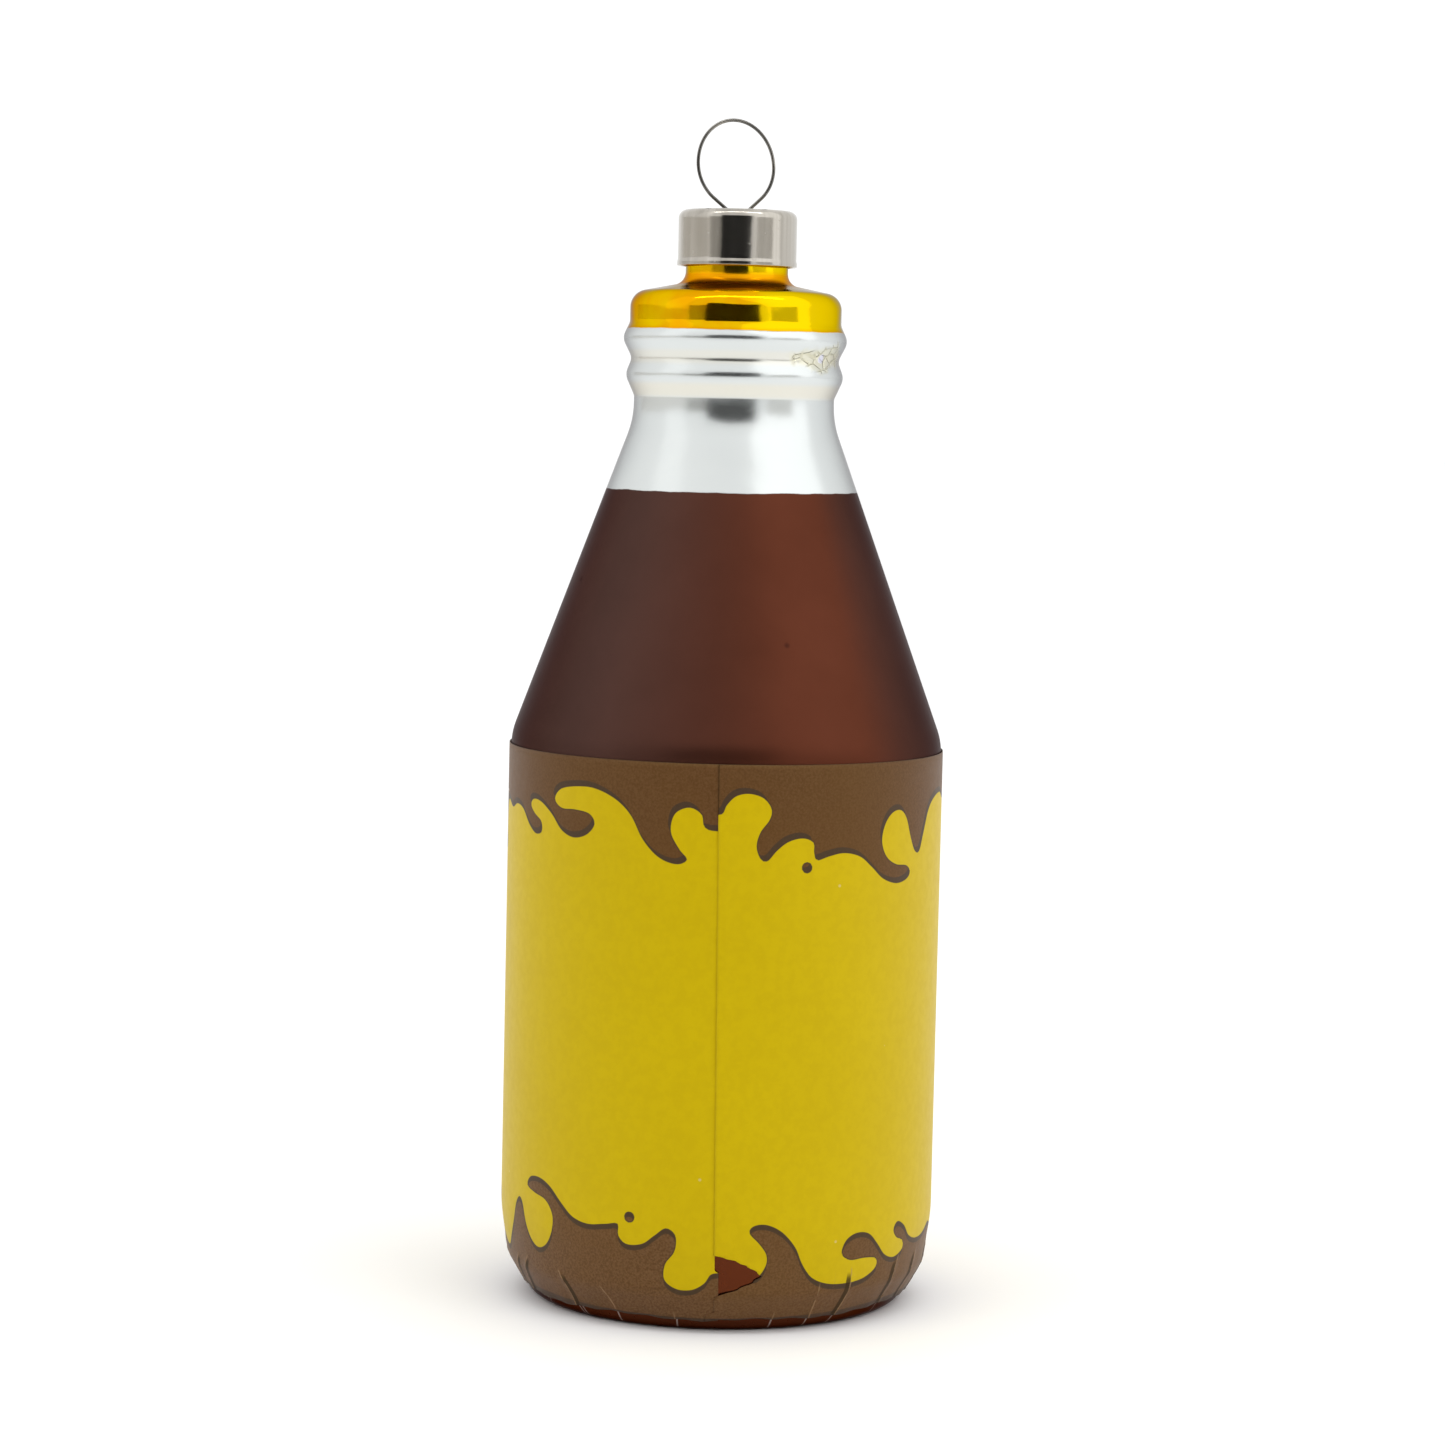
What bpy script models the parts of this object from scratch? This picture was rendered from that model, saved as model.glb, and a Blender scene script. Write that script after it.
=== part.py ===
"""Hanging glass ornament in the shape of a soda bottle.

Four pieces: one blown glass vessel with an open neck stub (the pike), a printed paper
label lapped round its body, a drawn sheet-metal cap over the pike, and a spring-wire
hanger whose legs hold in the pike through the cap's hole.

Metres, +Z up.  The origin is the centre of the standing ring, and -Y is the label's seam.
"""
import math

import bmesh
import bpy
import numpy as np

MM = 0.001

# ---- driving dimensions -------------------------------------------------------------
# Glass body, from the base up
BODY_RADIUS = 24.85 * MM           # outside of the glass, under the label
STANDING_RADIUS = 21.55 * MM       # where the heel's slope meets the floor plane
STANDING_WIDTH = 1.9 * MM          # flat ring that the bottle stands on
PUSH_UP = 1.3 * MM                 # rise of the underside's centre
HEEL_LOWER_HEIGHT = 4.7 * MM       # top of the heel's steep slope
HEEL_LOWER_INSET = 0.85 * MM       # body radius minus the radius there
HEEL_HEIGHT = 10.2 * MM            # top of the whole heel
SHOULDER_HEIGHT = 66.7 * MM        # base to the foot of the cone
CONE_HEIGHT = 36.0 * MM            # foot of the cone to the neck
WALL = 0.9 * MM

# Neck, its two rings and the crown, heights counted from the cone's top
NECK_RADIUS = 11.66 * MM
NECK_HEIGHT = 2.7 * MM
LOWER_RING_RADIUS = 12.75 * MM
LOWER_RING_RISE = 5.1 * MM
GROOVE_RADIUS = 12.0 * MM
GROOVE_RISE = 7.05 * MM
UPPER_RING_RADIUS = 13.15 * MM
UPPER_RING_RISE = 9.35 * MM
CROWN_RADIUS = 12.3 * MM
CROWN_FOOT_RISE = 11.2 * MM
CROWN_TOP_RISE = 14.6 * MM
CROWN_SLOPE = 1.25 * MM            # rise of the crown's top from its rim to the pike

# Pike: the open stub that the cap covers
PIKE_RADIUS = 5.95 * MM
PIKE_HEIGHT = 7.75 * MM
PIKE_LIP = 0.25 * MM               # rounding of the fire-polished mouth

# Paper label
LABEL_THICKNESS = 0.15 * MM
LABEL_GAP = 0.3 * MM               # glass to paper
LABEL_SHOULDER_MARGIN = 1.9 * MM   # shoulder to the label's top edge
LABEL_BOTTOM = 1.8 * MM            # floor to the label's bottom edge
LAP_WIDTH = 0.6 * MM               # the under end runs on this far beneath the over end
LAP_GAP = 0.1 * MM                 # between the two layers of the lap
LAP_RAMP_DEG = 15.0                # arc over which the over end comes down to the glass
SEAM_DEG = -91.2                   # direction of the over end, from +X

# Cap
CAP_CLEARANCE = 0.55 * MM          # pike to the cap's wall
CAP_SHEET = 0.4 * MM
CAP_HEIGHT = 6.5 * MM
CAP_SEAT_GAP = 0.3 * MM            # pike's mouth to the inside of the cap's top
CAP_TOP_ROUND = 0.8 * MM
CAP_RIM_FLARE = 0.08 * MM
CAP_RIM_HEIGHT = 0.6 * MM

# Wire hanger
WIRE_RADIUS = 0.2 * MM
LOOP_HALF_WIDTH = 4.37 * MM        # loop's centre line
LOOP_UPPER = 5.2 * MM              # widest level to the top
LOOP_LOWER = 4.85 * MM             # widest level to the foot of the same curve
LOOP_RISE = 5.2 * MM               # cap's top to the widest level
LOOP_LEAN = 1.1                    # sideways run of the loop's foot for each unit of drop
WAIST_HALF = 0.6 * MM              # half the distance between the legs at the waist
WAIST_DEPTH = 0.5 * MM             # waist below the cap's top
HOLE_CLEARANCE = 0.3 * MM          # wire to the edge of the cap's hole
LEG_DROP = 6.5 * MM                # waist to where the legs stand widest apart
LEG_CLEARANCE = 0.4 * MM           # wire to the pike's bore
FOOT_DROP = 4.5 * MM               # from there to the feet
FOOT_TURN = 0.9 * MM               # the feet turn in by this much

SEGMENTS = 48                      # round the turned pieces

# ---- places worked out from them ----------------------------------------------------
NECK_FOOT = SHOULDER_HEIGHT + CONE_HEIGHT
CROWN_TOP = NECK_FOOT + CROWN_TOP_RISE
PIKE_FOOT = CROWN_TOP + CROWN_SLOPE
PIKE_TOP = PIKE_FOOT + PIKE_HEIGHT
PIKE_BORE = PIKE_RADIUS - WALL
CAP_TOP = PIKE_TOP + CAP_SEAT_GAP + CAP_SHEET
CAP_RADIUS = PIKE_RADIUS + CAP_CLEARANCE + CAP_SHEET
LABEL_TOP = SHOULDER_HEIGHT - LABEL_SHOULDER_MARGIN
LEG_SPREAD = PIKE_BORE - LEG_CLEARANCE - WIRE_RADIUS
CAP_HOLE_RADIUS = (WAIST_HALF + LOOP_LEAN * WAIST_DEPTH
                   + (WIRE_RADIUS + HOLE_CLEARANCE) * math.hypot(1, LOOP_LEAN))


def fillet_path(corners, step_deg):
    """Points along a line of corners (x, z, fillet radius), each corner rounded by an arc.

    An arc has one straight piece for about every step_deg of its turn.
    """
    points = [np.array(corners[0][:2])]
    for before, corner, after in zip(corners, corners[1:], corners[2:]):
        here = np.array(corner[:2])
        back = np.array(before[:2]) - here
        ahead = np.array(after[:2]) - here
        back /= np.linalg.norm(back)
        ahead /= np.linalg.norm(ahead)
        inside = math.acos(np.clip(back @ ahead, -1, 1))
        turn = math.pi - inside
        if corner[2] == 0 or turn < 1e-6:
            points.append(here)
            continue
        middle = back + ahead
        middle /= np.linalg.norm(middle)
        centre = here + middle * corner[2] / math.sin(inside / 2)
        start = here + back * corner[2] / math.tan(inside / 2) - centre
        end = here + ahead * corner[2] / math.tan(inside / 2) - centre
        pieces = max(1, round(math.degrees(turn) / step_deg))
        for k in range(pieces + 1):
            share = k / pieces
            arm = (math.sin((1 - share) * turn) * start + math.sin(share * turn) * end)
            points.append(centre + arm / math.sin(turn))
    points.append(np.array(corners[-1][:2]))
    return np.array(points)


def offset_path(points, distance):
    """The path moved sideways: to its left, looking along it, by distance."""
    along = np.gradient(points, axis=0)
    along[1:-1] = unit(points[2:] - points[1:-1]) + unit(points[1:-1] - points[:-2])
    along = unit(along)
    normal = np.stack([-along[:, 1], along[:, 0]], axis=1)
    edge = unit(np.diff(points, axis=0))
    stretch = np.ones(len(points))
    stretch[1:-1] = np.sum(along[1:-1] * edge[1:], axis=1)
    return points + normal * (distance / stretch)[:, None]


def unit(vectors):
    return vectors / np.linalg.norm(vectors, axis=-1, keepdims=True)


def glass_corners():
    """Outside of the glass from the underside's centre to the pike's mouth."""
    inner_stand = STANDING_RADIUS - STANDING_WIDTH - 1.1 * MM
    return [
        (0.0, PUSH_UP, 0.0),
        (0.3 * inner_stand, PUSH_UP, 30 * MM),
        (inner_stand, 0.0, 3 * MM),
        (STANDING_RADIUS, 0.0, 1.85 * MM),
        (BODY_RADIUS - HEEL_LOWER_INSET, HEEL_LOWER_HEIGHT, 3 * MM),
        (BODY_RADIUS, HEEL_HEIGHT, 20 * MM),
        (BODY_RADIUS, SHOULDER_HEIGHT, 8 * MM),
        (NECK_RADIUS, NECK_FOOT, 11 * MM),
        (NECK_RADIUS, NECK_FOOT + NECK_HEIGHT, 2.2 * MM),
        (LOWER_RING_RADIUS, NECK_FOOT + LOWER_RING_RISE, 1.8 * MM),
        (GROOVE_RADIUS, NECK_FOOT + GROOVE_RISE, 1.2 * MM),
        (UPPER_RING_RADIUS, NECK_FOOT + UPPER_RING_RISE, 1.6 * MM),
        (CROWN_RADIUS, NECK_FOOT + CROWN_FOOT_RISE, 1.2 * MM),
        (CROWN_RADIUS, CROWN_TOP, 1.3 * MM),
        (PIKE_RADIUS, PIKE_FOOT, 0.9 * MM),
        (PIKE_RADIUS, PIKE_TOP, PIKE_LIP),
        (PIKE_RADIUS - WALL / 2, PIKE_TOP, 0.0),
    ]


def turned(name, outline, segments):
    """Mesh of an outline of (radius, height) points turned about Z.

    The outline runs so that the material lies on its left, and its ends are on the axis
    or it is a closed loop whose last point isn't repeated.
    """
    on_axis = outline[:, 0] < 1e-9
    closed = not on_axis[0]
    angle = np.arange(segments) * 2 * math.pi / segments
    mesh = bmesh.new()
    rings = []
    for (radius, height), pole in zip(outline, on_axis):
        if pole:
            ring = [mesh.verts.new((0, 0, height))] * segments
        else:
            ring = [mesh.verts.new((radius * math.cos(a), radius * math.sin(a), height)) for a in angle]
        rings.append(ring)
    pairs = list(zip(rings, rings[1:]))
    if closed:
        pairs.append((rings[-1], rings[0]))
    for lower, upper in pairs:
        for k in range(segments):
            n = (k + 1) % segments
            corners = [lower[k], lower[n], upper[n], upper[k]]
            mesh.faces.new(list(dict.fromkeys(corners)))
    return finish_mesh(name, mesh)


def finish_mesh(name, mesh):
    """Turn a bmesh into smooth-shaded mesh data with outward faces."""
    bmesh.ops.recalc_face_normals(mesh, faces=mesh.faces)
    data = bpy.data.meshes.new(name)
    mesh.to_mesh(data)
    mesh.free()
    data.shade_smooth()
    data.set_sharp_from_angle(angle=math.radians(35))
    return data


def finish(name, colour, metallic, roughness):
    """A plain Principled material."""
    material = bpy.data.materials.new(name)
    material.use_nodes = True
    shader = material.node_tree.nodes["Principled BSDF"]
    shader.inputs["Base Color"].default_value = (*colour, 1)
    shader.inputs["Metallic"].default_value = metallic
    shader.inputs["Roughness"].default_value = roughness
    return material


def add_object(name, data, material, parent=None):
    """Put mesh or curve data in the scene, at its parent's joint if it has one."""
    piece = bpy.data.objects.new(name, data)
    bpy.context.scene.collection.objects.link(piece)
    data.materials.append(material)
    if parent:
        piece.parent = parent
        piece.location = -parent.location
    return piece


def make_glass():
    """The blown vessel: one wall, open at the pike."""
    outside = fillet_path(glass_corners(), 18)
    inside = offset_path(fillet_path(glass_corners()[:-2] + [(PIKE_RADIUS, PIKE_TOP, 0.0)], 40), WALL)
    inside[0, 0] = 0.0
    lip = fillet_path([(PIKE_RADIUS - WALL / 2, PIKE_TOP, 0), (PIKE_BORE, PIKE_TOP, PIKE_LIP),
                       (PIKE_BORE, PIKE_TOP - 2 * PIKE_LIP, 0)], 30)
    wall = np.vstack([outside, lip[1:], inside[-2::-1]])
    coat = finish("coated_glass", (0.085, 0.04, 0.025), 0.7, 0.3)
    return add_object("glass_bottle", turned("glass_bottle", wall, SEGMENTS), coat)


def make_label():
    """Paper wrap: follows the body and heel, and its over end rides on its under end."""
    side = fillet_path(glass_corners()[2:8], 12)
    side = side[(side[:, 1] > LABEL_BOTTOM) & (side[:, 1] < LABEL_TOP)]
    heel_slope = (BODY_RADIUS - HEEL_LOWER_INSET - STANDING_RADIUS) / HEEL_LOWER_HEIGHT
    foot = (STANDING_RADIUS + heel_slope * LABEL_BOTTOM, LABEL_BOTTOM)
    side = np.vstack([foot, side, (BODY_RADIUS, LABEL_TOP)])
    lap_deg = math.degrees(LAP_WIDTH / BODY_RADIUS)
    facet = 360 / SEGMENTS
    inner_facets = np.arange(math.ceil(SEAM_DEG / facet + 0.1), (SEAM_DEG + 360) / facet - 0.1) * facet
    angles = np.radians([SEAM_DEG, *inner_facets, SEAM_DEG + 360, SEAM_DEG + 360 + lap_deg])
    turned_by = np.degrees(angles) - SEAM_DEG
    lift = (LABEL_THICKNESS + LAP_GAP) * np.clip(1 - turned_by / LAP_RAMP_DEG, 0, 1)
    mesh = bmesh.new()
    rows = []
    for angle, rise in zip(angles, lift):
        loop = np.vstack([offset_path(side, -LABEL_GAP - rise),
                          offset_path(side, -LABEL_GAP - LABEL_THICKNESS - rise)[::-1]])
        rows.append([mesh.verts.new((r * math.cos(angle), r * math.sin(angle), z)) for r, z in loop])
    count = len(rows[0])
    for left, right in zip(rows, rows[1:]):
        for k in range(count):
            n = (k + 1) % count
            mesh.faces.new((left[k], right[k], right[n], left[n]))
    half = count // 2
    for row in (rows[0], rows[-1]):
        for k in range(half - 1):
            mesh.faces.new((row[k], row[k + 1], row[count - 2 - k], row[count - 1 - k]))
    paper = finish("printed_paper", (0.60, 0.46, 0.0), 0.0, 0.55)
    return add_object("label_wrap", finish_mesh("label_wrap", mesh), paper)


def make_cap(joint):
    """Drawn cup, open below, with a hole for the hanger in its top."""
    rim = CAP_TOP - CAP_HEIGHT
    flare = CAP_RADIUS + CAP_RIM_FLARE
    outside = fillet_path([(flare, rim, 0), (flare, rim + CAP_RIM_HEIGHT / 2, 0.3 * MM),
                           (CAP_RADIUS, rim + CAP_RIM_HEIGHT, 0.5 * MM),
                           (CAP_RADIUS, CAP_TOP, CAP_TOP_ROUND), (CAP_HOLE_RADIUS, CAP_TOP, 0)], 15)
    bore = CAP_RADIUS - CAP_SHEET
    roof = CAP_TOP - CAP_SHEET
    inside = fillet_path([(CAP_HOLE_RADIUS, roof, 0), (bore, roof, CAP_TOP_ROUND - CAP_SHEET),
                          (bore, rim, 0)], 30)
    plate = finish("plated_steel", (0.62, 0.60, 0.57), 1.0, 0.12)
    return add_object("ornament_cap", turned("ornament_cap", np.vstack([outside, inside]), SEGMENTS),
                      plate, joint)


def hanger_half():
    """Centre line of the right half of the hanger, from the loop's top to the foot."""
    level = CAP_TOP + LOOP_RISE
    waist = CAP_TOP - WAIST_DEPTH
    upper = [(LOOP_HALF_WIDTH * math.sin(t), level + LOOP_UPPER * math.cos(t))
             for t in np.linspace(0, math.pi / 2, 11)]
    last = math.atan(LOOP_LEAN * LOOP_LOWER / LOOP_HALF_WIDTH)
    lower = [(LOOP_HALF_WIDTH * math.cos(t), level - LOOP_LOWER * math.sin(t))
             for t in np.linspace(0, last, 6)[1:]]
    legs = fillet_path([(*lower[-1], 0), (WAIST_HALF, waist, 0.35 * MM),
                        (LEG_SPREAD, waist - LEG_DROP, 1.5 * MM),
                        (LEG_SPREAD - FOOT_TURN, waist - LEG_DROP - FOOT_DROP, 0)], 18)
    return np.array(upper + lower + list(legs[1:]))


def make_hanger(joint):
    """Spring wire bent to a loop, with two legs that spread inside the pike."""
    right = hanger_half()
    left = right[:0:-1] * (-1, 1)
    line = np.vstack([left, right])
    curve = bpy.data.curves.new("hanger_wire", "CURVE")
    curve.dimensions = "3D"
    curve.bevel_depth = WIRE_RADIUS
    curve.bevel_resolution = 2
    curve.use_fill_caps = True
    spline = curve.splines.new("POLY")
    spline.points.add(len(line) - 1)
    for point, (x, z) in zip(spline.points, line):
        point.co = (x, 0, z, 1)
    wire = finish("spring_wire", (0.22, 0.21, 0.20), 1.0, 0.3)
    return add_object("hanger_wire", curve, wire, joint)


def joint_empty(name, height, parent=None):
    """Empty on a joint's axis."""
    empty = bpy.data.objects.new(name, None)
    bpy.context.scene.collection.objects.link(empty)
    empty.location = (0, 0, height)
    empty.parent = parent
    return empty


for old in list(bpy.data.objects):
    bpy.data.objects.remove(old, do_unlink=True)

cap_lift = joint_empty("cap_lift", CAP_TOP)
make_glass()
make_label()
make_cap(cap_lift)
make_hanger(cap_lift)
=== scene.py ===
"""Looks of the hanging glass ornament: a silvered glass bottle under three coats, a printed
paper label, a plated cap and a wire loop, each in its own section, in the order they are
put together."""
import math

import bpy
import numpy as np
from mathutils import Matrix, Vector


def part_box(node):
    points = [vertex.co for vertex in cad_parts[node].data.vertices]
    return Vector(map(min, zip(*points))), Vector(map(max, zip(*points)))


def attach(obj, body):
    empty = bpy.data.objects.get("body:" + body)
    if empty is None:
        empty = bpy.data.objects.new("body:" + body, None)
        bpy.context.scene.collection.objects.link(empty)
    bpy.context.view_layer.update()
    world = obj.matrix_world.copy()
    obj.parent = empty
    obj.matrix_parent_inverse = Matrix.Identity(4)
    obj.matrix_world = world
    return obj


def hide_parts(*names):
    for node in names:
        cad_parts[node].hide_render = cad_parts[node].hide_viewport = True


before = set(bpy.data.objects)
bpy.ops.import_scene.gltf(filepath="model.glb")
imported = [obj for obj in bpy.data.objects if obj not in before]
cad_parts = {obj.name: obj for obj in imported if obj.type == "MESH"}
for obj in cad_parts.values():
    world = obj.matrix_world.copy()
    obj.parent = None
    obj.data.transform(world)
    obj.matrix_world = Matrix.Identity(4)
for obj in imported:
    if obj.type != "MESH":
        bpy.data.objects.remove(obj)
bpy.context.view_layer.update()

MM = 0.001

# ---- Glass bottle -------------------------------------------------------------------
# One piece of blown glass, silvered inside.  It is dipped or sprayed outside with gloss
# gold on the pike and crown, matte silver on the neck and matte brown from there down.

glass_low, glass_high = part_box("glass_bottle")
label_low, label_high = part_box("label_wrap")

GLASS_TURNS = 216                     # facets round the bottle
WALL = 0.9 * MM
PAPER = 0.10 * MM                     # the label lies this thick on its glue, on the glass
GLUE = 0.02 * MM
body_radius = label_high[0] - PAPER - GLUE
pike_top = glass_high[2]
pike_foot = pike_top - 7.75 * MM
crown_top = pike_foot - 1.25 * MM
neck_foot = crown_top - 14.6 * MM
cone_slope = 13.19 / 36.0             # drop in radius for each unit of height
neck_radius = 11.66 * MM
pike_radius = 5.95 * MM
LIP_ROUND = 0.4 * MM
shoulder = neck_foot - (body_radius - neck_radius) / cone_slope


def rounded(corners, step=4.0):
    """A line of corners (x, z, fillet radius) with each corner rounded by an arc.

    The arc touches both sides of its corner: its centre lies on the bisector at
    radius / sin(half the inside angle), and it is drawn as points step degrees apart.
    """
    out = [np.array(corners[0][:2])]
    for before, corner, after in zip(corners, corners[1:], corners[2:]):
        here = np.array(corner[:2])
        back = np.array(before[:2]) - here
        ahead = np.array(after[:2]) - here
        back /= np.linalg.norm(back)
        ahead /= np.linalg.norm(ahead)
        half = math.acos(np.clip(back @ ahead, -1, 1)) / 2
        turn = math.pi - 2 * half
        if corner[2] == 0 or turn < 1e-6:
            out.append(here)
            continue
        centre = here + (back + ahead) / np.linalg.norm(back + ahead) * corner[2] / math.sin(half)
        start = here + back * corner[2] / math.tan(half) - centre
        end = here + ahead * corner[2] / math.tan(half) - centre
        share = np.linspace(0, 1, max(2, round(math.degrees(turn) / step)) + 1)[:, None]
        arc = (np.sin((1 - share) * turn) * start + np.sin(share * turn) * end) / math.sin(turn)
        out.extend(centre + arc)
    out.append(np.array(corners[-1][:2]))
    return np.array(out)


def resampled(line, spacing):
    """The same line with points added so that none are further apart than spacing."""
    pieces = []
    for a, b in zip(line, line[1:]):
        count = max(1, math.ceil(np.linalg.norm(b - a) / spacing))
        pieces.append(a + (b - a) * np.linspace(0, 1, count, endpoint=False)[:, None])
    return np.vstack(pieces + [line[-1:]])


def beside(line, distance):
    """The line moved to its left by distance, square to its own direction."""
    along = np.gradient(line, axis=0)
    along /= np.linalg.norm(along, axis=1, keepdims=True)
    return line + np.stack([-along[:, 1], along[:, 0]], axis=1) * distance


def glass_outline():
    """Outside of the glass from the underside's centre up to the pike's mouth.

    Each corner is (radius, height, fillet radius).
    """
    r, n = body_radius, neck_foot
    return [
        (0, 1.3 * MM, 0), (5.5 * MM, 1.3 * MM, 30 * MM), (18.55 * MM, 0, 3 * MM),
        (21.6 * MM, 0, 1.85 * MM), (r - 0.85 * MM, 4.7 * MM, 3 * MM), (r, 10.2 * MM, 20 * MM),
        (r, shoulder, 8 * MM), (neck_radius, n, 11 * MM), (neck_radius, n + 2.7 * MM, 1.0 * MM),
        (12.75 * MM, n + 5.1 * MM, 1.8 * MM), (12.0 * MM, n + 7.05 * MM, 1.2 * MM),
        (13.15 * MM, n + 9.35 * MM, 1.6 * MM), (12.3 * MM, n + 11.2 * MM, 1.2 * MM),
        (12.3 * MM, crown_top, 2.0 * MM), (pike_radius, pike_foot, 1.5 * MM),
        (pike_radius, pike_top, LIP_ROUND), (pike_radius - WALL / 2, pike_top, 0),
    ]


def turned(outline, turns):
    """Grid of points: radius and height from the outline, angle from the column."""
    angle = np.arange(turns) * 2 * math.pi / turns
    radius, height = outline[:, :1], outline[:, 1:]
    return np.stack([radius * np.cos(angle), radius * np.sin(angle), height + 0 * angle], axis=2)


def surface(name, grid, round_columns=False, round_rows=False, pole_start=False, pole_end=False):
    """An object from a grid of points (rows, columns, xyz), as quads with their face out.

    Rows or columns that close on themselves are joined, and a pole is one point with a
    fan of triangles.
    """
    rows, columns = grid.shape[:2]
    index = np.arange(rows * columns).reshape(rows, columns)
    if round_columns:
        index = np.hstack([index, index[:, :1]])
    if round_rows:
        index = np.vstack([index, index[:1]])
    points = grid.reshape(-1, 3)
    if pole_start:
        index[0] = index[0, 0]
    if pole_end:
        index[-1] = index[-1, 0]
    quads = np.stack([index[:-1, :-1], index[:-1, 1:], index[1:, 1:], index[1:, :-1]], axis=2).reshape(-1, 4)
    used, place = np.unique(quads, return_inverse=True)
    quads = place.reshape(-1, 4)
    mesh = bpy.data.meshes.new(name)
    faces = [list(dict.fromkeys(quad)) for quad in quads.tolist()]
    mesh.from_pydata(points[used], [], faces)
    mesh.shade_smooth()
    piece = bpy.data.objects.new(name, mesh)
    bpy.context.scene.collection.objects.link(piece)
    return piece


class Value:
    """An output of a finish's node tree.  Arithmetic on it adds Math nodes."""

    def __init__(self, finish, socket):
        self.finish = finish
        self.socket = socket

    def __add__(self, other):
        return self.finish.maths("ADD", self, other)

    def __sub__(self, other):
        return self.finish.maths("SUBTRACT", self, other)

    def __rsub__(self, other):
        return self.finish.maths("SUBTRACT", other, self)

    def __mul__(self, other):
        return self.finish.maths("MULTIPLY", self, other)

    def __truediv__(self, other):
        return self.finish.maths("DIVIDE", self, other)

    def __pow__(self, other):
        return self.finish.maths("POWER", self, other)

    def __neg__(self):
        return self.finish.maths("MULTIPLY", self, -1.0)

    def __abs__(self):
        return self.finish.maths("ABSOLUTE", self)

    __radd__ = __add__
    __rmul__ = __mul__


class Finish:
    """One material: a Principled shader and the nodes that feed it."""

    def __init__(self, name, **constants):
        self.material = bpy.data.materials.new(name)
        self.material.use_nodes = True
        self.tree = self.material.node_tree
        self.shader = self.tree.nodes["Principled BSDF"]
        for socket, value in constants.items():
            self.shader.inputs[socket.replace("_", " ")].default_value = value
        self.place = self.node("ShaderNodeTexCoord", out="Object")

    def node(self, kind, settings=None, sockets=None, out=0):
        """Add a node: its settings first, then a value or a link for each named socket."""
        node = self.tree.nodes.new(kind)
        for setting, value in (settings or {}).items():
            setattr(node, setting, value)
        for socket, value in (sockets or {}).items():
            if isinstance(value, Value):
                self.tree.links.new(value.socket, node.inputs[socket])
            else:
                node.inputs[socket].default_value = value
        return Value(self, node.outputs[out])

    def maths(self, operation, *values):
        return self.node("ShaderNodeMath", {"operation": operation}, dict(enumerate(values)))

    def step(self, value, low, high):
        """0 below low, 1 above high, smooth between."""
        sockets = {"Value": value, "From Min": low, "From Max": high}
        return self.node("ShaderNodeMapRange", {"interpolation_type": "SMOOTHSTEP"}, sockets)

    def mix(self, share, a, b):
        """Colour a where share is 0, colour b where it is 1."""
        return self.node("ShaderNodeMix", {"data_type": "RGBA"}, {0: share, 6: a, 7: b}, out=2)

    def noise(self, scale, detail=2.0, roughness=0.5, place=None):
        """Cloudy values round 0.5; scale is in cells for each metre."""
        sockets = {"Vector": place or self.place, "Scale": scale, "Detail": detail, "Roughness": roughness}
        return self.node("ShaderNodeTexNoise", None, sockets)

    def stretched(self, x, y, z):
        """Object coordinates scaled along each axis."""
        return self.node("ShaderNodeMapping", None, {"Vector": self.place, "Scale": (x, y, z)})

    def axis(self, which, place=None):
        """One coordinate of a place, in metres."""
        return self.node("ShaderNodeSeparateXYZ", None, {0: place or self.place}, out=which)

    def feed(self, socket, value):
        self.tree.links.new(value.socket, self.shader.inputs[socket])

    def bump(self, height, strength, distance, over=None):
        """A Bump node; over is a bump that this one lies on."""
        sockets = {"Height": height, "Strength": strength, "Distance": distance}
        if over:
            sockets["Normal"] = over
        return self.node("ShaderNodeBump", None, sockets)


def srgb(red, green, blue):
    """A screen colour, 0 to 255, as the linear RGBA a shader takes."""
    share = np.array([red, green, blue]) / 255
    linear = np.where(share <= 0.04045, share / 12.92, ((share + 0.055) / 1.055) ** 2.4)
    return (*linear.tolist(), 1.0)


# Short pale ticks in the brown just under the label, at the feet of its pleats: mm round from the
# front, and how far each leans for a millimetre of height.
PALE_TICKS = [
    (-25.6, 0.4), (-19.0, -0.5), (-18.4, -0.4), (-12.7, -0.15), (-4.7, 0.05), (7.4, 0.2),
    (12.4, 0.25), (16.4, 0.6), (24.6, 0.5), (33.0, 0.4), (58.0, 0.1), (-52.0, 0.2)]
TICK_MIDDLE = 1.2                    # mm up, where each tick crosses its own place

# A small chip in the groove between the neck's rings, turned round from +X.
CHIP_TURN_DEG = -36.0
chip_radius = 12.2 * MM
chip_place = (chip_radius * math.cos(math.radians(CHIP_TURN_DEG)),
              chip_radius * math.sin(math.radians(CHIP_TURN_DEG)), neck_foot + 7.35 * MM)


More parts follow.
